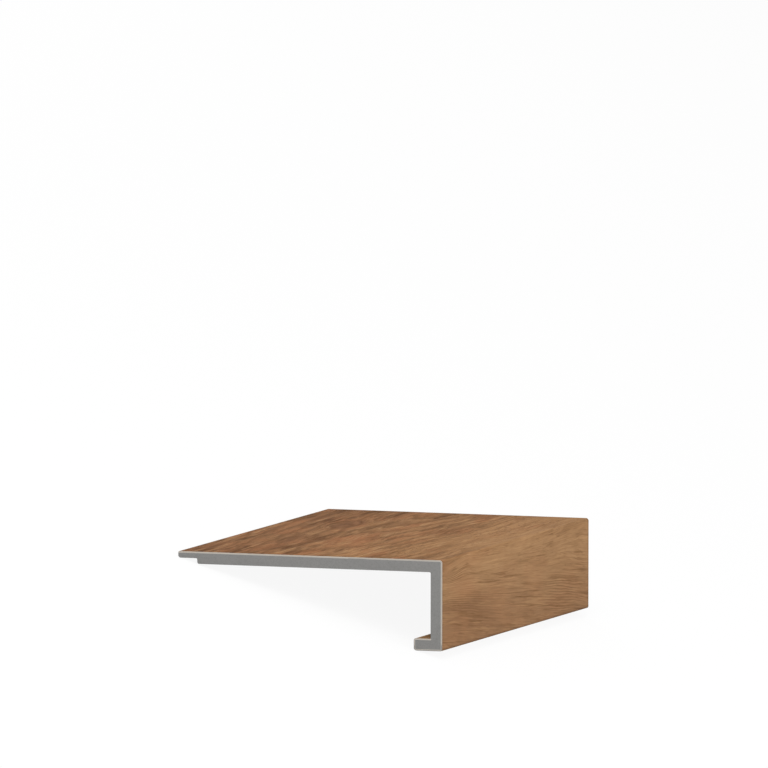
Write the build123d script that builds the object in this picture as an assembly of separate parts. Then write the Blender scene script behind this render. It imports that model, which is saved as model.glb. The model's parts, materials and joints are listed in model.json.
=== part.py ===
from build123d import *
import math
import os

# Landing stair nose: an extruded grey core in a wood-print film.
# Sizes are millimetres. The section is drawn as the nose is fitted on a landing:
# X is 0 at the front face and runs back to the lip as minus values,
# Z is 0 under the hook, and Y runs along the extrusion.

# Driving sizes of the section
length = 250.0
width = 153.0
drop = 50.0
board_thickness = 6.7
lip_reach = 11.0
lip_thickness = 3.6
hook_reach = 16.4
film_thickness = 0.8
film_tuck = 0.4  # how far the film's last edge is let into the leg, in the corner over the hook

# Rounded corners, as radii of the outer surface
nose_radius = 1.5
front_foot_radius = 1.0
hook_foot_radius = 1.5
hook_crest_radius = 1.0
lip_foot_radius = 1.4
lip_crest_radius = 0.6
step_radius = 1.2
root_radius = 0.8

# How far the cutting outline of the film stands out behind the lip
cut_margin = 5.0


def whole_section():
    """Outline of core and film together, from the back of the lip round to the rebate."""
    corners = [
        ((-width, drop), lip_crest_radius),
        ((0, drop), nose_radius),
        ((0, 0), front_foot_radius),
        ((-hook_reach, 0), hook_foot_radius),
        ((-hook_reach, board_thickness), hook_crest_radius),
        ((-board_thickness, board_thickness), 0),
        ((-board_thickness, drop - board_thickness), root_radius),
        ((-width + lip_reach, drop - board_thickness), step_radius),
        ((-width + lip_reach, drop - lip_thickness), root_radius),
        ((-width, drop - lip_thickness), lip_foot_radius),
    ]
    return filled_outline(corners)


def inside_of_film():
    """Everything the film wraps: the core's outline, closed across the open hollow."""
    film = film_thickness
    corners = [
        ((-width - cut_margin, drop - film), 0),
        ((-film, drop - film), max(nose_radius - film, 0)),
        ((-film, film), max(front_foot_radius - film, 0)),
        ((-hook_reach + film, film), max(hook_foot_radius - film, 0)),
        ((-hook_reach + film, board_thickness - film), max(hook_crest_radius - film, 0)),
        ((-board_thickness + film_tuck, board_thickness - film), 0),
        ((-board_thickness + film_tuck, board_thickness), 0),
        ((-width - cut_margin, board_thickness), 0),
    ]
    return filled_outline(corners)


def filled_outline(corners):
    """A flat face from corner points, each with the radius that rounds it."""
    points = [point for point, _ in corners]
    radii = [radius for _, radius in corners]
    # A closed polyline takes its radii in the order of its points
    with BuildSketch(Plane.XZ) as sketch:
        with BuildLine():
            FilletPolyline(*points, radius=radii, close=True)
        make_face()
    return sketch.sketch


def resting_tilt():
    """Degrees the nose tips back to lie on its hook and its lip, by their foot radii."""
    hook_centre = (-hook_reach + hook_foot_radius, hook_foot_radius)
    lip_centre = (-width + lip_foot_radius, drop - lip_thickness + lip_foot_radius)
    run = hook_centre[0] - lip_centre[0]
    rise = lip_centre[1] - hook_centre[1]
    span = math.hypot(run, rise)
    centre_angle = math.atan2(rise, run)
    radius_angle = math.asin((hook_foot_radius - lip_foot_radius) / span)
    return math.degrees(centre_angle + radius_angle)


def laid_down(face):
    """Extrude a section to length and tip it back as it comes to rest."""
    bar = extrude(face, amount=length / 2, both=True)
    return Rot(0, -resting_tilt(), 0) * bar


section = whole_section()
wrapped = inside_of_film()

core = laid_down(section & wrapped)
decor_film = laid_down(section - wrapped)

# The origin is under the middle of the bounding box
outer = Compound([*core.solids(), *decor_film.solids()]).bounding_box()
to_origin = Pos(-outer.center().X, -outer.center().Y, -outer.min.Z)
pieces = {"core": to_origin * core, "decor_film": to_origin * decor_film}

os.makedirs("parts", exist_ok=True)
for name, piece in pieces.items():
    piece.label = name
    export_step(piece, f"parts/{name}.step")
    print(name, "volume", round(piece.volume), "mm3")
print("tilt", round(resting_tilt(), 4), "box", outer.size)
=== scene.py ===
import json
import math
from typing import NamedTuple

import bmesh
import bpy
from bpy.props import FloatProperty, FloatVectorProperty, IntProperty, PointerProperty
from mathutils import Matrix, Vector


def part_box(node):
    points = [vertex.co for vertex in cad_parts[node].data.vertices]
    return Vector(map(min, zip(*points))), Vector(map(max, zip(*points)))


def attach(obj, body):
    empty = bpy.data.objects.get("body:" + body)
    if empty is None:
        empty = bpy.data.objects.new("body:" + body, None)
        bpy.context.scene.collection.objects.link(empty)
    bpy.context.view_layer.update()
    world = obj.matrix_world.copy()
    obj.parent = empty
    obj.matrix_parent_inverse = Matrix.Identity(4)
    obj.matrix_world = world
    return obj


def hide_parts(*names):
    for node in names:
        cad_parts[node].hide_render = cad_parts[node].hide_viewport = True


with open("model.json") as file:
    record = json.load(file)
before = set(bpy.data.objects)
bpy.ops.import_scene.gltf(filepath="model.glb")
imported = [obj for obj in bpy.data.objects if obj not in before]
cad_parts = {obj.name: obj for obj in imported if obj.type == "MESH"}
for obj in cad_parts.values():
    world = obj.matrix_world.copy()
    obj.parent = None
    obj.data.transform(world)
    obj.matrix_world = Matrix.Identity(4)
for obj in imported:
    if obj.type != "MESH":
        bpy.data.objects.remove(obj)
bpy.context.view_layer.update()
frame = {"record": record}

bl_info = {
    "name": "Landing Stair Nose",
    "version": (1, 0, 0),
    "blender": (4, 5, 0),
    "location": "View3D > Sidebar > Stair Nose",
    "description": "A landing stair nose: a grey extruded core wrapped in a wood-print film",
    "category": "Add Mesh",
}

# The section is drawn as the nose is fitted on a landing: x is 0 at the front face and runs
# back to the lip as minus values, z is 0 under the hook, and y runs along the extrusion.

# Settings that a user would change


def linear(red, green, blue):
    """A screen colour from 0 to 255 as the linear colour that the shaders take."""
    shares = [value / 255 for value in (red, green, blue)]
    return tuple(s / 12.92 if s <= 0.04045 else ((s + 0.055) / 1.055) ** 2.4 for s in shares)


def cad_length():
    """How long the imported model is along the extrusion."""
    low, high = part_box("core")
    return high[1] - low[1]


def size(name, description, default):
    """A setting for a length, in metres."""
    return FloatProperty(name=name, description=description, default=default, min=0.0,
                         precision=5, unit="LENGTH", subtype="DISTANCE")


def share(name, description, default, top=1.0):
    """A setting for a level, from 0 up to top."""
    return FloatProperty(name=name, description=description, default=default, min=0.0,
                         max=top, subtype="FACTOR")


def angle(name, description, degrees):
    """A setting for an angle, given in degrees."""
    return FloatProperty(name=name, description=description, default=math.radians(degrees),
                         unit="ROTATION", subtype="ANGLE")


def colour(name, description, default):
    """A setting for a colour."""
    return FloatVectorProperty(name=name, description=description, default=default, size=3,
                               min=0.0, max=1.0, subtype="COLOR")


class NoseSizes(bpy.types.PropertyGroup):
    """Sizes of the nose's section, in metres, as it is fitted."""

    length: size("Length", "From end to end, along the extrusion", cad_length())
    width: size("Width", "From the back of the lip to the front face", 0.153)
    drop: size("Drop", "From the top of the plate to under the hook", 0.05)
    board: size("Board thickness", "Thickness of plate, leg and hook, film included", 0.0067)
    lip_reach: size("Lip reach", "How far the thin lip runs out behind the plate", 0.011)
    lip_thickness: size("Lip thickness", "Thickness of the lip, film included", 0.0036)
    hook_reach: size("Hook reach", "From the front face to the end of the hook", 0.0164)
    film: size("Film thickness", "Thickness of the wood-print film", 0.0008)
    film_tuck: size("Film tuck", "How far the film's last edge is let into the leg", 0.0004)
    nose_radius: size("Nose radius", "Rounding between the top and the front", 0.0015)
    front_foot: size("Front foot radius", "Rounding under the front face", 0.001)
    hook_foot: size("Hook foot radius", "Rounding under the end of the hook", 0.0015)
    hook_crest: size("Hook crest radius", "Rounding over the end of the hook", 0.001)
    lip_foot: size("Lip foot radius", "Rounding under the end of the lip", 0.0014)
    lip_crest: size("Lip crest radius", "Rounding over the end of the lip", 0.0006)
    step_radius: size("Step radius", "Rounding of the step at the rebate", 0.0012)
    root_radius: size("Root radius", "Rounding in the inside corners", 0.0008)
    arris: size("Sawn arris", "Softening of the edges that the saw leaves", 0.00012)
    arc_steps: IntProperty(name="Arc steps", description="Faces round each rounded corner",
                           default=10, min=2, max=32)


class FilmFinish(bpy.types.PropertyGroup):
    """Colours and grain of the wood-print film."""

    tan: colour("Tan", "The print's main colour", linear(166, 125, 86))
    brown: colour("Brown", "The print's darker ground", linear(130, 92, 64))
    russet: colour("Russet", "The print's reddish patches", linear(160, 109, 74))
    olive: colour("Olive", "The print's greyer patches", linear(165, 133, 99))
    streak: colour("Streak", "The dark streaks", linear(98, 66, 41))
    strand: colour("Strand", "The pale strands between them", linear(186, 146, 104))
    pore: colour("Pore", "The short dark pores", linear(84, 58, 40))
    cut: colour("Cut edge", "The film's own plastic where it is sawn", linear(186, 179, 169))
    dull_cut: colour("Dull cut edge", "The same round the hook, where the saw smeared it",
                     linear(136, 133, 129))
    line_spacing: size("Line spacing", "Usual width of a streak", 0.006)
    line_length: size("Line length", "Usual length of a streak", 0.05)
    relief: size("Relief", "Depth of the embossed grain", 0.00006)


class CoreFinish(bpy.types.PropertyGroup):
    """Colours of the mineral-filled core."""

    ground: colour("Ground", "The core's main grey", linear(131, 130, 128))
    dark: colour("Dark filler", "The darker grains of the filler", linear(116, 115, 113))
    pale: colour("Pale filler", "The paler grains of the filler", linear(146, 145, 142))
    relief: size("Relief", "Depth of the saw marks and the die lines", 0.00002)


class StudioSettings(bpy.types.PropertyGroup):
    """Camera, lamps and floor."""

    azimuth: angle("Azimuth", "How far the camera is turned to the front side", 19.011)
    elevation: angle("Elevation", "How far the camera looks down on the plate", 5.450)
    roll: angle("Roll", "Turn of the camera about its own axis", -0.088)
    distance: size("Distance", "From the camera to the nose's near end", 19.304)
    aim_right: size("Foot right of the axis", "From the camera's axis to the front's near foot",
                    0.03176)
    aim_below: size("Foot below the axis", "From the camera's axis down to the same foot", 0.1463)
    lens: FloatProperty(name="Lens", description="Focal length", default=1654.3, min=1.0,
                        unit="CAMERA")
    sky: share("Sky", "Level of the even light from all round", 0.50, 2.0)
    overhead: share("Overhead lamp", "Level of the soft lamp above", 0.06, 2.0)
    front_lamp: share("Front lamp", "Level of the soft lamp towards the front face", 0.38, 2.0)
    end_lamp: share("End lamp", "Level of the soft lamp towards the near end", 0.50, 2.0)
    back_lamp: share("Back lamp", "Level of the soft lamp towards the lip and the far end", 0.16, 2.0)
    floor_shade: share("Floor shade", "How strongly the floor shows the nose's shadow", 0.08)


# Shader helpers


def put(tree, kind, inputs=None, **settings):
    """A shader node with its settings, and its inputs set or linked by name or number."""
    node = tree.nodes.new(kind)
    for key, value in settings.items():
        setattr(node, key, value)
    for key, value in (inputs or {}).items():
        if isinstance(value, bpy.types.NodeSocket):
            tree.links.new(value, node.inputs[key])
        else:
            node.inputs[key].default_value = value
    return node


def maths(tree, operation, *values, clamp=False):
    """One step of arithmetic, held between 0 and 1 if clamped."""
    inputs = dict(enumerate(values))
    return put(tree, "ShaderNodeMath", inputs, operation=operation, use_clamp=clamp).outputs[0]


def times(tree, first, second, clamp=False):
    """First times second."""
    return maths(tree, "MULTIPLY", first, second, clamp=clamp)


def minus(tree, first, second):
    """First less second."""
    return maths(tree, "SUBTRACT", first, second)


def total(tree, start, *parts, clamp=False):
    """Start plus each part's mask times its weight; a clamp holds the last sum."""
    for number, (mask, weight) in enumerate(parts, 1):
        held = clamp and number == len(parts)
        start = maths(tree, "MULTIPLY_ADD", mask, weight, start, clamp=held)
    return start


def most(tree, first, *others):
    """The highest of the values."""
    for value in others:
        first = maths(tree, "MAXIMUM", first, value)
    return first


def distance(tree, side, ahead):
    """How far a spot is from the one it is measured from, by its two square offsets."""
    squares = maths(tree, "ADD", times(tree, side, side), times(tree, ahead, ahead))
    return maths(tree, "SQRT", squares)


def ramp(tree, value, low, high, to_low=0.0, to_high=1.0):
    """Value from low to high, spread smoothly over to_low to to_high and held at both ends."""
    inputs = {"Value": value, "From Min": low, "From Max": high, "To Min": to_low, "To Max": to_high}
    node = put(tree, "ShaderNodeMapRange", inputs, interpolation_type="SMOOTHSTEP", clamp=True)
    return node.outputs["Result"]


def as_rgba(value):
    """A colour as a shader's colour socket takes it; a socket is passed on."""
    if isinstance(value, bpy.types.NodeSocket):
        return value
    return (*value[:3], 1.0)


def blend(tree, factor, first, second):
    """Colour between first and second."""
    node = put(tree, "ShaderNodeMix", {0: factor, 6: as_rgba(first), 7: as_rgba(second)},
               data_type="RGBA", blend_type="MIX")
    return node.outputs[2]


def shade(tree, tint, level):
    """A colour times a level."""
    grey = put(tree, "ShaderNodeCombineXYZ", {0: level, 1: level, 2: level}).outputs[0]
    node = put(tree, "ShaderNodeMix", {0: 1.0, 6: as_rgba(tint), 7: grey},
               data_type="RGBA", blend_type="MULTIPLY")
    return node.outputs[2]


def noise(tree, vector, scale=1.0, detail=2.0, roughness=0.5):
    """Soft noise about 0.5."""
    inputs = {"Vector": vector, "Scale": scale, "Detail": detail, "Roughness": roughness}
    return put(tree, "ShaderNodeTexNoise", inputs, noise_dimensions="3D").outputs[0]


def stretch(tree, across, along, spacing, length, layer):
    """Coordinates of a pattern that repeats at spacing across the grain and length along it."""
    inputs = {0: maths(tree, "DIVIDE", across, spacing), 1: maths(tree, "DIVIDE", along, length),
              2: layer}
    return put(tree, "ShaderNodeCombineXYZ", inputs).outputs[0]


def placed(tree, group_tree, inputs):
    """A node group set in a material with its own values."""
    return put(tree, "ShaderNodeGroup", inputs, node_tree=group_tree).outputs


def shared_group(name, inputs):
    """Makes a function that fills a node group build it once, and find it from then on. The
    function gets the tree and the group's inputs, and returns its outputs by name. An input
    with no default is a vector, and every other socket is a number."""
    def keep(fill):
        def find():
            if name not in bpy.data.node_groups:
                tree = bpy.data.node_groups.new(name, "ShaderNodeTree")
                for label, default in inputs.items():
                    kind = "NodeSocketVector" if default is None else "NodeSocketFloat"
                    socket = tree.interface.new_socket(label, in_out="INPUT", socket_type=kind)
                    if default is not None:
                        socket.default_value = default
                made = fill(tree, tree.nodes.new("NodeGroupInput").outputs)
                for label in made:
                    tree.interface.new_socket(label, in_out="OUTPUT", socket_type="NodeSocketFloat")
                put(tree, "NodeGroupOutput", made)
            return bpy.data.node_groups[name]
        return find
    return keep


# Shared effects


@shared_group("Grain flow", {"Wrap": None, "Drift": 0.08, "Drift Start": 0.16, "Drift End": 0.19,
                             "Wander": 0.006})
def grain_flow_group(tree, given):
    """Bends the straight wrap coordinates so that the grain drifts and wanders."""
    parts = put(tree, "ShaderNodeSeparateXYZ", {0: given["Wrap"]}).outputs
    across, along = parts[0], parts[1]
    turned = ramp(tree, across, given["Drift Start"], given["Drift End"])
    across = minus(tree, across, times(tree, times(tree, turned, given["Drift"]), along))
    wide = noise(tree, stretch(tree, across, along, 0.050, 0.15, layer=3.1), detail=1.0)
    near = noise(tree, stretch(tree, across, along, 0.014, 0.036, layer=8.4), detail=2.0)
    sway = times(tree, minus(tree, wide, 0.5), given["Wander"])
    ripple = times(tree, minus(tree, near, 0.5), given["Wander"])
    sway = total(tree, sway, (ripple, 0.26))
    return {"Across": maths(tree, "ADD", across, sway), "Along": along}


@shared_group("Grain streaks", {"Across": 0.0, "Along": 0.0, "Spacing": 0.003, "Length": 0.1,
                                "Layer": 0.0, "Detail": 3.0, "Low": 0.4, "High": 0.6})
def streaks_group(tree, given):
    """Long soft streaks along the grain, from 0 to 1."""
    spots = stretch(tree, given["Across"], given["Along"], given["Spacing"], given["Length"],
                    given["Layer"])
    value = noise(tree, spots, detail=given["Detail"], roughness=0.6)
    return {"Streaks": ramp(tree, value, given["Low"], given["High"])}


@shared_group("Growth rings", {"Across": 0.0, "Along": 0.0, "Middle": 0.05, "Tip": 0.1,
                               "Openness": 0.1, "Spacing": 0.002, "Waver": 2.0})
def rings_group(tree, given):
    """Growth rings cut at a slant: nested arches that run out into fine lines."""
    side = minus(tree, given["Across"], given["Middle"])
    ahead = times(tree, minus(tree, given["Along"], given["Tip"]), given["Openness"])
    count = maths(tree, "DIVIDE", distance(tree, side, ahead), given["Spacing"])
    spots = stretch(tree, given["Across"], given["Along"], 0.009, 0.055, layer=5.5)
    count = total(tree, count, (noise(tree, spots, detail=3.0), given["Waver"]))
    part = maths(tree, "FRACT", count)
    # Each ring darkens slowly and ends sharply
    rise = ramp(tree, part, 0.30, 0.80)
    fall = ramp(tree, part, 0.84, 0.98, 1.0, 0.0)
    return {"Rings": times(tree, rise, fall)}


@shared_group("Pores", {"Across": 0.0, "Along": 0.0, "Width": 0.0005, "Length": 0.008,
                        "Share": 0.3, "Layer": 0.0})
def pores_group(tree, given):
    """Short dark dashes along the grain, as open pores."""
    spots = stretch(tree, given["Across"], given["Along"], given["Width"], given["Length"],
                    given["Layer"])
    value = noise(tree, spots, detail=1.0)
    start = minus(tree, 0.72, times(tree, given["Share"], 0.3))
    return {"Pores": ramp(tree, value, start, maths(tree, "ADD", start, 0.06))}


@shared_group("Soft patch", {"Across": 0.0, "Along": 0.0, "Middle": 0.05, "Along Middle": 0.0,
                             "Half Width": 0.02, "Half Length": 0.05})
def patch_group(tree, given):
    """A soft oval patch of the print, 1 in its middle and 0 from its edge outwards."""
    side = maths(tree, "DIVIDE", minus(tree, given["Across"], given["Middle"]), given["Half Width"])
    ahead = maths(tree, "DIVIDE", minus(tree, given["Along"], given["Along Middle"]),
                  given["Half Length"])
    return {"Patch": ramp(tree, distance(tree, side, ahead), 1.0, 0.2)}


@shared_group("Filler speckle", {"Place": None, "Grain": 0.0006})
def speckle_group(tree, given):
    """Fine mineral filler: dark and pale grains."""
    scale = maths(tree, "DIVIDE", 1.0, given["Grain"])
    fine = noise(tree, given["Place"], scale, detail=3.0, roughness=0.7)
    return {"Dark": ramp(tree, fine, 0.50, 0.34), "Pale": ramp(tree, fine, 0.56, 0.72)}


@shared_group("Saw marks", {"Place": None, "Pitch": 0.0011, "Blade Radius": 0.15})
def saw_marks_group(tree, given):
    """Shallow arcs that a saw blade leaves across a cut end."""
    parts = put(tree, "ShaderNodeSeparateXYZ", {0: given["Place"]}).outputs
    side = maths(tree, "ADD", parts[0], 0.03)
    height = maths(tree, "ADD", parts[2], given["Blade Radius"])
    turns = maths(tree, "DIVIDE", distance(tree, side, height), given["Pitch"])
    lines = put(tree, "ShaderNodeCombineXYZ", {0: turns, 1: 0.0, 2: 0.0}).outputs[0]
    return {"Marks": noise(tree, lines, detail=2.0, roughness=0.7)}


@shared_group("End shade", {"Place": None, "Half Length": 0.125, "Reach": 0.003})
def end_shade_group(tree, given):
    """How near a spot is to one of the two sawn ends: 1 at the end, 0 from the reach inwards."""
    parts = put(tree, "ShaderNodeSeparateXYZ", {0: given["Place"]}).outputs
    inset = minus(tree, given["Half Length"], maths(tree, "ABSOLUTE", parts[1]))
    return {"Near End": ramp(tree, inset, given["Reach"], 0.0)}


# Materials


class Place(NamedTuple):
    """A soft oval place of the print on the unrolled film, in metres."""

    across: float  # from the back of the lip over the plate, the nose and the front
    along: float  # from the middle of the length towards the far end
    half_width: float
    half_length: float


PRINT_PLACES = {
    # On the plate
    "knot": [Place(0.039, 0.047, 0.015, 0.034)],
    "feather": [Place(0.083, -0.007, 0.020, 0.050)],
    "calm": [Place(0.069, -0.047, 0.020, 0.045)],
    "glow": [Place(0.053, 0.060, 0.009, 0.045), Place(0.098, -0.100, 0.016, 0.030)],
    "olive": [Place(0.138, 0.000, 0.034, 0.130), Place(0.138, 0.112, 0.030, 0.062)],
    "dash": [Place(0.131, -0.062, 0.0085, 0.055)],
    # Over the nose and on the front
    "near_corner": [Place(0.160, -0.100, 0.018, 0.038)],
    "bare_nose": [Place(0.155, -0.108, 0.008, 0.026)],
    "ruddy": [Place(0.176, -0.090, 0.014, 0.036)],
    "low_corner": [Place(0.197, -0.080, 0.022, 0.098)],
    "lined": [Place(0.183, 0.076, 0.018, 0.050), Place(0.188, -0.080, 0.015, 0.060),
              Place(0.168, -0.104, 0.010, 0.030)],
}

# How strongly the grain slants where it does, as metres across for each metre along
SLANTS = {"near_corner": 0.17, "feather": 0.11}


def bare_material(name):
    """A material with no nodes yet, and its node tree."""
    material = bpy.data.materials.new(name)
    material.use_nodes = True
    material.node_tree.nodes.clear()
    return material, material.node_tree


def read_surface(tree):
    """The unrolled place on a piece, the place in space, and 1 where a saw cut it."""
    wrap = put(tree, "ShaderNodeUVMap", uv_map="wrap").outputs[0]
    place = put(tree, "ShaderNodeTexCoord").outputs["Object"]
    cut = put(tree, "ShaderNodeAttribute", attribute_type="GEOMETRY", attribute_name="cut")
    return wrap, place, cut.outputs["Fac"]


def finish_surface(tree, tint, rough, height, relief, specular):
    """The shader of a finish, its height embossed to the depth of the relief."""
    bump = put(tree, "ShaderNodeBump", {"Strength": 0.5, "Distance": relief, "Height": height})
    shader = put(tree, "ShaderNodeBsdfPrincipled", {
        "Base Color": tint, "Roughness": rough, "Normal": bump.outputs[0],
        "Specular IOR Level": specular, "IOR": 1.5})
    put(tree, "ShaderNodeOutputMaterial", {"Surface": shader.outputs[0]})


def film_material(sizes, finish):
    """Wood-print film: its grain runs along the nose and on over the corners without a break."""
    material, tree = bare_material("Wood-print film")
    wrap, place, cut = read_surface(tree)
    over = put(tree, "ShaderNodeSeparateXYZ", {0: wrap}).outputs[0]
    # Where the front, its foot and the hook's end come on the unrolled film, in metres
    front = sizes.width
    foot = front + sizes.drop
    hook_end = foot + sizes.hook_reach
    # The plate's figure passes into the front's within 26 mm round the nose
    on_front = ramp(tree, over, front - 0.014, front + 0.012)
    on_plate = minus(tree, 1.0, on_front)
    flow = placed(tree, grain_flow_group(), {
        "Wrap": wrap, "Drift": 0.092, "Drift Start": front, "Drift End": front + 0.03,
        "Wander": total(tree, 0.016, (on_front, -0.010))})
    drifted, along = flow["Across"], flow["Along"]

    def patch(places):
        """1 in the middle of each of these places, fading to 0 at their edges."""
        ovals = [placed(tree, patch_group(), {
            "Across": drifted, "Along": along, "Middle": oval.across, "Along Middle": oval.along,
            "Half Width": oval.half_width, "Half Length": oval.half_length})["Patch"]
            for oval in places]
        return most(tree, *ovals)

    at = {name: patch(places) for name, places in PRINT_PLACES.items()}

    # The grain parts round the knot and slants in two places
    knot_middle = PRINT_PLACES["knot"][0].across
    parting = times(tree, minus(tree, drifted, knot_middle), times(tree, at["knot"], 0.7))
    across = minus(tree, drifted, parting)
    for name, slant in SLANTS.items():
        ahead = minus(tree, along, PRINT_PLACES[name][0].along)
        across = total(tree, across, (times(tree, at[name], slant), ahead))

    def streaks(spacing, length, layer, low, high, detail=2.0):
        """Streaks along the bent grain; each layer number gives others."""
        inputs = {"Across": across, "Along": along, "Spacing": spacing, "Length": length,
                  "Layer": layer, "Detail": detail, "Low": low, "High": high}
        return placed(tree, streaks_group(), inputs)["Streaks"]

    # Ground: tan with browner and redder patches, darker towards the lip and the front's foot
    mottle = streaks(0.022, 0.055, layer=1.7, low=0.36, high=0.68)
    lipward = ramp(tree, over, 0.105, 0.02)
    footward = times(tree, ramp(tree, over, front + 0.012, foot, 0.0, 0.86),
                     ramp(tree, over, hook_end, foot, 0.1, 1.0))
    depth = total(tree, times(tree, lipward, 0.62), (mottle, 0.34))
    depth = maths(tree, "ADD", depth, footward)
    depth = total(tree, depth, (at["knot"], 0.60), (at["low_corner"], 0.60), (at["calm"], -0.35),
                  (at["glow"], -0.40), (at["olive"], -0.45), clamp=True)
    redness = streaks(0.016, 0.045, layer=12.2, low=0.42, high=0.68)
    redness = times(tree, redness, total(tree, 0.65, (on_front, -0.25)))
    redness = total(tree, redness, (at["calm"], 0.50), (at["glow"], 0.15), (at["ruddy"], 0.60),
                    (at["olive"], -0.50), clamp=True)
    greyness = total(tree, times(tree, on_front, 0.45), (at["olive"], 0.05),
                     (at["low_corner"], -0.14), clamp=True)
    ground = blend(tree, depth, finish.tan, finish.brown)
    ground = blend(tree, redness, ground, finish.russet)
    ground = blend(tree, greyness, ground, finish.olive)

    # Figure: broad streaks, bundles of fine lines, pale strands, fibres, rings and pores
    spacing, length = finish.line_spacing, finish.line_length
    threads = streaks(spacing * 0.14, length * 0.5, layer=27.7, low=0.36, high=0.62)
    broad = streaks(spacing, length, layer=4.4, low=0.48, high=0.64, detail=3.0)
    broad = times(tree, broad, total(tree, 0.72, (threads, 0.40)))
    bundles = streaks(spacing * 1.6, length * 1.6, layer=15.8, low=0.38, high=0.60)
    fine = streaks(spacing * 0.17, length * 0.9, layer=9.3, low=0.51, high=0.62)
    strands = streaks(spacing * 0.5, length * 0.8, layer=21.5, low=0.52, high=0.70)
    fibres = streaks(0.00045, 0.024, layer=30.1, low=0.34, high=0.66, detail=3.0)
    plate_rings = placed(tree, rings_group(), {
        "Across": across, "Along": along, "Middle": 0.066, "Tip": 0.19, "Openness": 0.13,
        "Spacing": 0.0062, "Waver": 1.7})["Rings"]
    front_rings = placed(tree, rings_group(), {
        "Across": across, "Along": along, "Middle": front + 0.085, "Tip": -0.1,
        "Openness": 0.05, "Spacing": 0.0015, "Waver": 1.9})["Rings"]
    lining = times(tree, on_front, total(tree, at["lined"], (bundles, 0.50)))
    rings = times(tree, times(tree, plate_rings, on_plate), 0.52)
    rings = total(tree, rings, (times(tree, front_rings, lining), 0.42))
    pores = placed(tree, pores_group(), {
        "Across": across, "Along": along, "Width": 0.00036, "Length": 0.011, "Share": 0.45,
        "Layer": 2.0})["Pores"]

    # The streaks are strongest towards the lip and at the near corner, and fade in quiet places
    strength = total(tree, 0.70, (lipward, 0.28), (on_front, -0.49), (at["near_corner"], 0.45))
    lines = times(tree, fine, total(tree, 0.16, (bundles, 0.34)))
    dark = most(tree, times(tree, broad, strength), lines, rings)
    clear = most(tree, at["glow"], at["bare_nose"])
    quiet = total(tree, 1.0, (at["calm"], -0.55), (at["olive"], -0.62), (clear, -0.55))
    dark = times(tree, dark, quiet, clamp=True)
    dashed = times(tree, at["dash"], total(tree, 0.22, (threads, 0.40)))
    dark = most(tree, dark, dashed)
    pale = times(tree, strands, total(tree, 0.50, (on_front, -0.20)))
    pored = times(tree, pores, total(tree, 0.36, (bundles, 0.40)))
    pored = times(tree, pored, total(tree, 1.0, (on_front, -0.70)))
    tint = blend(tree, pale, ground, finish.strand)
    tint = blend(tree, dark, tint, finish.streak)
    tint = blend(tree, pored, tint, finish.pore)
    tint = shade(tree, tint, total(tree, 0.92, (fibres, 0.16)))

    # The print is a little darker within 3.5 mm of each end
    near_end = placed(tree, end_shade_group(), {
        "Place": place, "Half Length": sizes.length / 2, "Reach": 0.0035})["Near End"]
    tint = shade(tree, tint, total(tree, 1.0, (near_end, -0.16)))

    # Painted shade in the bend at the front's foot, painted light on the hook's upper face
    from_foot = maths(tree, "ABSOLUTE", minus(tree, over, foot))
    painted_shade_at_foot = ramp(tree, from_foot, 0.0022, 0.0002)
    tint = shade(tree, tint, total(tree, 1.0, (painted_shade_at_foot, -0.30)))
    painted_light_on_hook = ramp(tree, over, hook_end, hook_end + sizes.board)
    tint = shade(tree, tint, total(tree, 1.0, (painted_light_on_hook, 0.22)))

    # The film's own plastic shows where it is sawn, duller round the hook
    marks = placed(tree, saw_marks_group(), {
        "Place": place, "Pitch": 0.0009, "Blade Radius": 0.15})["Marks"]
    specks = placed(tree, speckle_group(), {"Place": place, "Grain": 0.0005})
    past_foot = ramp(tree, over, foot, foot + 0.002)
    before_top = ramp(tree, over, hook_end + sizes.board, hook_end + 0.004)
    edge = blend(tree, times(tree, past_foot, before_top), finish.cut, finish.dull_cut)
    edge = shade(tree, edge, total(tree, 0.95, (marks, 0.10)))
    edge = shade(tree, edge, total(tree, 1.0, (specks["Dark"], -0.05)))
    tint = blend(tree, cut, tint, edge)

    # Embossed grain: pores and fine lines lie a little lower and shine a little less
    hollow = most(tree, pores, times(tree, fine, 0.6))
    grain = minus(tree, times(tree, fibres, 0.3), hollow)
    height = maths(tree, "ADD", times(tree, grain, minus(tree, 1.0, cut)),
                   times(tree, times(tree, marks, cut), 0.3))
    dulled = maths(tree, "ADD", times(tree, hollow, 0.12), times(tree, fibres, 0.05))
    rough = maths(tree, "ADD", total(tree, 0.58, (cut, 0.10)), dulled)
    finish_surface(tree, tint, rough, height, finish.relief, specular=0.005)
    return material


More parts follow.
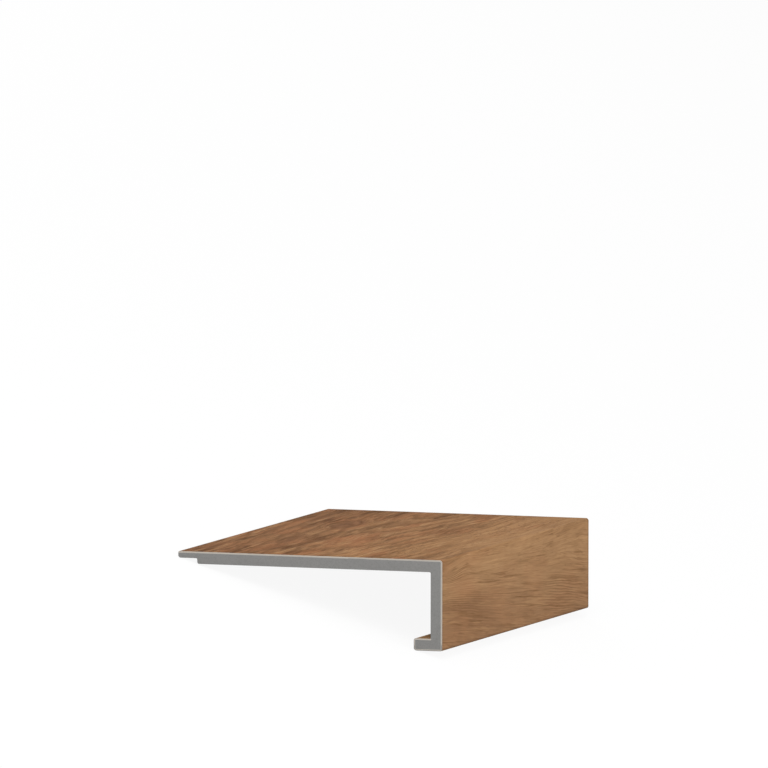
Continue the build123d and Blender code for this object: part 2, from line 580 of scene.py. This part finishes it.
def core_material(sizes, finish):
    """Mineral-filled core: even grey with a fine filler, saw marks on the ends, die lines along."""
    material, tree = bare_material("Mineral-filled core")
    wrap, place, cut = read_surface(tree)
    uncut = minus(tree, 1.0, cut)
    parts = put(tree, "ShaderNodeSeparateXYZ", {0: wrap}).outputs
    specks = placed(tree, speckle_group(), {"Place": place, "Grain": 0.0007})
    tint = blend(tree, times(tree, specks["Dark"], 0.5), finish.ground, finish.dark)
    tint = blend(tree, times(tree, specks["Pale"], 0.45), tint, finish.pale)
    cloud = noise(tree, place, 38.0, detail=2.0)
    tint = shade(tree, tint, total(tree, 0.97, (cloud, 0.06)))
    marks = placed(tree, saw_marks_group(), {
        "Place": place, "Pitch": 0.0011, "Blade Radius": 0.15})["Marks"]
    die_lines = placed(tree, streaks_group(), {
        "Across": parts[0], "Along": parts[1], "Spacing": 0.0009, "Length": 0.6, "Layer": 6.6,
        "Detail": 3.0, "Low": 0.2, "High": 0.8})["Streaks"]
    texture = maths(tree, "ADD", times(tree, marks, cut), times(tree, die_lines, uncut))
    tint = shade(tree, tint, total(tree, 0.975, (texture, 0.05)))
    # The long sides are a little paler next to each end
    near_end = placed(tree, end_shade_group(), {
        "Place": place, "Half Length": sizes.length / 2, "Reach": 0.0015})["Near End"]
    tint = shade(tree, tint, total(tree, 1.0, (times(tree, near_end, uncut), 0.06)))
    height = total(tree, texture, (specks["Dark"], -0.4))
    rough = total(tree, 0.66, (cut, 0.08), (specks["Dark"], 0.06))
    finish_surface(tree, tint, rough, height, finish.relief, specular=0.2)
    return material


# Shapes

# Distance in metres within which two places count as one
TOUCHING = 1e-6
# From this lean towards an end, a face counts as sawn
SAWN_LEAN = 0.1
# From this lean away from both upright and level, a long face belongs to a rounded corner
ROUNDED_LEAN = 0.02
# Up to this lean towards an end, a face may close the way round the section
SIDE_LEAN = 0.5


def core_corners(sizes):
    """Corners (x, z, radius) of the core: first the bare sides, from the corner over the hook
    round to the back of the lip, then the sides that the film covers."""
    board, drop, edge = sizes.board, sizes.drop, sizes.film
    tuck = sizes.film_tuck - board
    step = sizes.lip_reach - sizes.width
    bare = [
        (-board, board, 0.0),
        (-board, drop - board, sizes.root_radius),
        (step, drop - board, sizes.step_radius),
        (step, drop - sizes.lip_thickness, sizes.root_radius),
        (-sizes.width, drop - sizes.lip_thickness, sizes.lip_foot),
        (-sizes.width, drop - edge, 0.0),
    ]
    covered = [
        (-edge, drop - edge, sizes.nose_radius - edge),
        (-edge, edge, sizes.front_foot - edge),
        (edge - sizes.hook_reach, edge, sizes.hook_foot - edge),
        (edge - sizes.hook_reach, board - edge, sizes.hook_crest - edge),
        (tuck, board - edge, 0.0),
        (tuck, board, 0.0),
    ]
    return bare, covered


def film_corners(sizes):
    """Corners (x, z, radius) of the film: first its outer side, from the back of the lip over
    plate, nose, front and hook to its last edge in the corner, then back along the core."""
    board, drop, edge = sizes.board, sizes.drop, sizes.film
    tuck = sizes.film_tuck - board
    outer = [
        (-sizes.width, drop - edge, 0.0),
        (-sizes.width, drop, sizes.lip_crest),
        (0.0, drop, sizes.nose_radius),
        (0.0, 0.0, sizes.front_foot),
        (-sizes.hook_reach, 0.0, sizes.hook_foot),
        (-sizes.hook_reach, board, sizes.hook_crest),
        (tuck, board, 0.0),
    ]
    inner = [
        (tuck, board - edge, 0.0),
        (edge - sizes.hook_reach, board - edge, sizes.hook_crest - edge),
        (edge - sizes.hook_reach, edge, sizes.hook_foot - edge),
        (-edge, edge, sizes.front_foot - edge),
        (-edge, drop - edge, sizes.nose_radius - edge),
    ]
    return outer, inner


def fitted_to_resting(sizes):
    """Turns and shifts the fitted section to where the nose lies, by the record's plate mount."""
    mount = next(m for m in frame["record"]["mounts"] if m["name"] == "plate_underside")
    tilt = math.atan2(mount["axis"][0], -mount["axis"][2])
    turn = Matrix.Rotation(-tilt, 4, "Y")
    plate_middle = Vector(((sizes.lip_reach - sizes.width - sizes.board) / 2, 0.0,
                           sizes.drop - sizes.board))
    return Matrix.Translation(Vector(mount["pos_m"]) - turn @ plate_middle) @ turn


def in_section(vertex):
    """Where a vertex lies in the section, as x and z."""
    return Vector((vertex.co.x, vertex.co.z))


def rounded_section(bm, corners, arc_steps):
    """One flat face through the corners, each of them rounded by a vertex bevel."""
    points = [bm.verts.new((x, 0.0, z)) for x, z, _ in corners]
    bm.faces.new(points)
    for point, (_, _, radius) in zip(points, corners):
        if radius > 0.0:
            bmesh.ops.bevel(bm, geom=[point], offset=radius, offset_type="OFFSET",
                            segments=arc_steps, profile=0.5, affect="VERTICES", material=-1)
    bm.faces.ensure_lookup_table()
    return bm.faces[0]


def measure_outline(face, layer, start, toward):
    """Writes at each vertex its way round the outline from start, setting off to toward, and
    returns the length of the whole round."""
    loops = list(face.loops)
    spots = [in_section(loop.vert) for loop in loops]
    first = min(range(len(spots)), key=lambda i: (spots[i] - start).length)
    heading = (toward - start).normalized()
    after = heading.dot((spots[(first + 1) % len(spots)] - start).normalized())
    before = heading.dot((spots[first - 1] - start).normalized())
    step = 1 if after > before else -1
    order = [(first + step * i) % len(spots) for i in range(len(spots))]
    way = 0.0
    for here, following in zip(order, order[1:] + order[:1]):
        loops[here].vert[layer] = way
        way += (spots[following] - spots[here]).length
    return way


def extruded_piece(name, shown, hidden, sizes, material):
    """A length of the extrusion: the section drawn out along y, its shown end edges softened."""
    bm = bmesh.new()
    way = bm.verts.layers.float.new("way")
    face = rounded_section(bm, shown + hidden, sizes.arc_steps)
    start, toward, stop = (Vector(corner[:2]) for corner in (shown[0], shown[1], shown[-1]))
    round_trip = measure_outline(face, way, start, toward)
    shown_way = min(bm.verts, key=lambda v: (in_section(v) - stop).length)[way]
    drawn = bmesh.ops.extrude_face_region(bm, geom=[face], use_keep_orig=True)["geom"]
    far = [item for item in drawn if isinstance(item, bmesh.types.BMVert)]
    bmesh.ops.translate(bm, verts=bm.verts, vec=(0.0, -sizes.length / 2, 0.0))
    bmesh.ops.translate(bm, verts=far, vec=(0.0, sizes.length, 0.0))
    bmesh.ops.recalc_face_normals(bm, faces=bm.faces)

    ends = [edge for edge in bm.edges
            if abs(edge.verts[0].co.y - edge.verts[1].co.y) < TOUCHING
            and all(v[way] < shown_way + TOUCHING for v in edge.verts)]
    bmesh.ops.bevel(bm, geom=ends, offset=sizes.arris, offset_type="OFFSET", segments=2,
                    profile=0.5, affect="EDGES", clamp_overlap=True, material=-1)
    bmesh.ops.recalc_face_normals(bm, faces=bm.faces)
    lay_out_wrap(bm, way, round_trip)
    bm.transform(fitted_to_resting(sizes))

    mesh = bpy.data.meshes.new(name)
    bm.to_mesh(mesh)
    bm.free()
    mesh.materials.append(material)
    piece = bpy.data.objects.new(name, mesh)
    bpy.context.scene.collection.objects.link(piece)
    return piece


def lay_out_wrap(bm, way, round_trip):
    """Unrolls the long sides on the UV map "wrap", in metres, and marks the sawn faces in the
    face attribute "cut"; rounded corners are shaded smooth."""
    uv = bm.loops.layers.uv.new("wrap")
    cut = bm.faces.layers.float.new("cut")
    for face in bm.faces:
        side_lean, end_lean, up_lean = (abs(value) for value in face.normal)
        face[cut] = 1.0 if end_lean > SAWN_LEAN else 0.0
        face.smooth = end_lean < SAWN_LEAN and min(side_lean, up_lean) > ROUNDED_LEAN
        ways = [loop.vert[way] for loop in face.loops]
        closes = max(ways) - min(ways) > round_trip / 2 and end_lean < SIDE_LEAN
        for loop, here in zip(face.loops, ways):
            if closes and here < round_trip / 2:
                here += round_trip
            loop[uv].uv = (here, loop.vert.co.y)


# Pieces


class NOSE_OT_core(bpy.types.Operator):
    """Make the grey core from its section"""

    bl_idname = "nose.core"
    bl_label = "Core"

    def execute(self, context):
        sizes, finish = context.scene.nose_sizes, context.scene.nose_core
        material = core_material(sizes, finish)
        piece = extruded_piece("core_profile", *core_corners(sizes), sizes, material)
        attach(piece, "root")
        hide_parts("core")
        return {"FINISHED"}


class NOSE_OT_film(bpy.types.Operator):
    """Make the wood-print film that wraps the core"""

    bl_idname = "nose.film"
    bl_label = "Wood-print film"

    def execute(self, context):
        sizes, finish = context.scene.nose_sizes, context.scene.nose_film
        material = film_material(sizes, finish)
        piece = extruded_piece("decor_wrap", *film_corners(sizes), sizes, material)
        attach(piece, "root")
        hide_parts("decor_film")
        return {"FINISHED"}


# Stage

WHITE = (1.0, 1.0, 1.0, 1.0)
FLOOR_GREY = (0.82, 0.82, 0.82, 1.0)


class NOSE_OT_stage(bpy.types.Operator):
    """Set up the floor, the soft lamps and the camera"""

    bl_idname = "nose.stage"
    bl_label = "Stage"

    def execute(self, context):
        scene = context.scene
        studio = scene.nose_studio
        scene.view_settings.view_transform = "Standard"
        pale_floor(studio)
        even_sky(scene, studio)
        soft_lamp("overhead lamp", (-0.2, -0.3, 1.9), width=1.8, level=studio.overhead)
        soft_lamp("front lamp", (1.9, -0.3, 0.7), width=1.5, level=studio.front_lamp)
        soft_lamp("end lamp", (-0.1, -1.3, 1.6), width=1.3, level=studio.end_lamp)
        soft_lamp("back lamp", (-1.3, 1.3, 1.0), width=1.3, level=studio.back_lamp)
        scene.camera = set_camera(studio, scene.nose_sizes)
        return {"FINISHED"}


def white_seen_directly(tree):
    """1 where the camera sees a surface directly, in a reflection or through glass."""
    path = put(tree, "ShaderNodeLightPath").outputs
    return most(tree, path["Is Camera Ray"], path["Is Glossy Ray"], path["Is Transmission Ray"])


def pale_floor(studio):
    """A wide pale floor that looks white to the camera and keeps the nose's faint shadow."""
    bm = bmesh.new()
    bmesh.ops.create_grid(bm, x_segments=4, y_segments=4, size=6.0)
    mesh = bpy.data.meshes.new("floor")
    bm.to_mesh(mesh)
    bm.free()
    material, tree = bare_material("Pale floor")
    seen = white_seen_directly(tree)
    tint = blend(tree, seen, FLOOR_GREY, WHITE)
    matte = put(tree, "ShaderNodeBsdfDiffuse", {"Color": tint}).outputs[0]
    lit = put(tree, "ShaderNodeEmission", {"Color": WHITE, "Strength": 1.0}).outputs[0]
    amount = times(tree, seen, 1.0 - studio.floor_shade)
    mixed = put(tree, "ShaderNodeMixShader", {0: amount, 1: matte, 2: lit}).outputs[0]
    put(tree, "ShaderNodeOutputMaterial", {"Surface": mixed})
    mesh.materials.append(material)
    floor = bpy.data.objects.new("floor", mesh)
    bpy.context.scene.collection.objects.link(floor)
    return floor


def even_sky(scene, studio):
    """Even light from all round, and plain white where the background shows."""
    world = bpy.data.worlds.new("Even studio light")
    scene.world = world
    world.use_nodes = True
    tree = world.node_tree
    tree.nodes.clear()
    soft, white = (put(tree, "ShaderNodeBackground", {"Color": WHITE, "Strength": level}).outputs[0]
                   for level in (studio.sky, 1.0))
    seen = white_seen_directly(tree)
    mixed = put(tree, "ShaderNodeMixShader", {0: seen, 1: soft, 2: white}).outputs[0]
    put(tree, "ShaderNodeOutputWorld", {"Surface": mixed})


def soft_lamp(name, spot, width, level):
    """A square soft lamp aimed at the nose; a level of 1 lights a surface facing it as written."""
    data = bpy.data.lights.new(name, "AREA")
    data.shape = "SQUARE"
    data.size = width
    place = Vector(spot)
    data.energy = level * math.pi ** 2 * place.length_squared
    lamp = bpy.data.objects.new(name, data)
    lamp.location = place
    lamp.rotation_mode = "QUATERNION"
    lamp.rotation_quaternion = place.to_track_quat("Z", "Y")
    lamp.visible_camera = False
    bpy.context.scene.collection.objects.link(lamp)


def set_camera(studio, sizes):
    """The camera, placed about the fitted nose and then tipped back with it."""
    azimuth, elevation, roll = studio.azimuth, studio.elevation, studio.roll
    back = Vector((math.sin(azimuth) * math.cos(elevation), -math.cos(azimuth) * math.cos(elevation),
                   math.sin(elevation)))
    level_right = Vector((math.cos(azimuth), math.sin(azimuth), 0.0))
    level_up = back.cross(level_right)
    right = level_right * math.cos(roll) - level_up * math.sin(roll)
    up = level_right * math.sin(roll) + level_up * math.cos(roll)
    near_foot = Vector((0.0, -sizes.length / 2, 0.0))
    spot = near_foot - right * studio.aim_right + up * studio.aim_below + back * studio.distance
    data = bpy.data.cameras.new("camera")
    data.sensor_width = 36.0
    data.lens = studio.lens
    data.clip_start = 0.1
    data.clip_end = 60.0
    camera = bpy.data.objects.new("camera", data)
    axes = Matrix((right, up, back)).transposed().to_4x4()
    camera.matrix_world = fitted_to_resting(sizes) @ Matrix.Translation(spot) @ axes
    bpy.context.scene.collection.objects.link(camera)
    return camera


class NOSE_PT_sidebar(bpy.types.Panel):
    """The nose's steps, in the order they are made"""

    bl_label = "Landing Stair Nose"
    bl_idname = "NOSE_PT_sidebar"
    bl_space_type = "VIEW_3D"
    bl_region_type = "UI"
    bl_category = "Stair Nose"

    def draw(self, context):
        for step in STEPS:
            self.layout.operator(step.bl_idname)


STEPS = (NOSE_OT_core, NOSE_OT_film, NOSE_OT_stage)
SETTINGS = {"nose_sizes": NoseSizes, "nose_film": FilmFinish, "nose_core": CoreFinish,
            "nose_studio": StudioSettings}
CLASSES = (*SETTINGS.values(), *STEPS, NOSE_PT_sidebar)


def register():
    for made in CLASSES:
        bpy.utils.register_class(made)
    for name, settings in SETTINGS.items():
        setattr(bpy.types.Scene, name, PointerProperty(type=settings))


def unregister():
    for name in SETTINGS:
        delattr(bpy.types.Scene, name)
    for made in reversed(CLASSES):
        bpy.utils.unregister_class(made)


def main():
    register()
    bpy.ops.nose.core()
    bpy.ops.nose.film()
    bpy.ops.nose.stage()


if __name__ == "__main__":
    main()
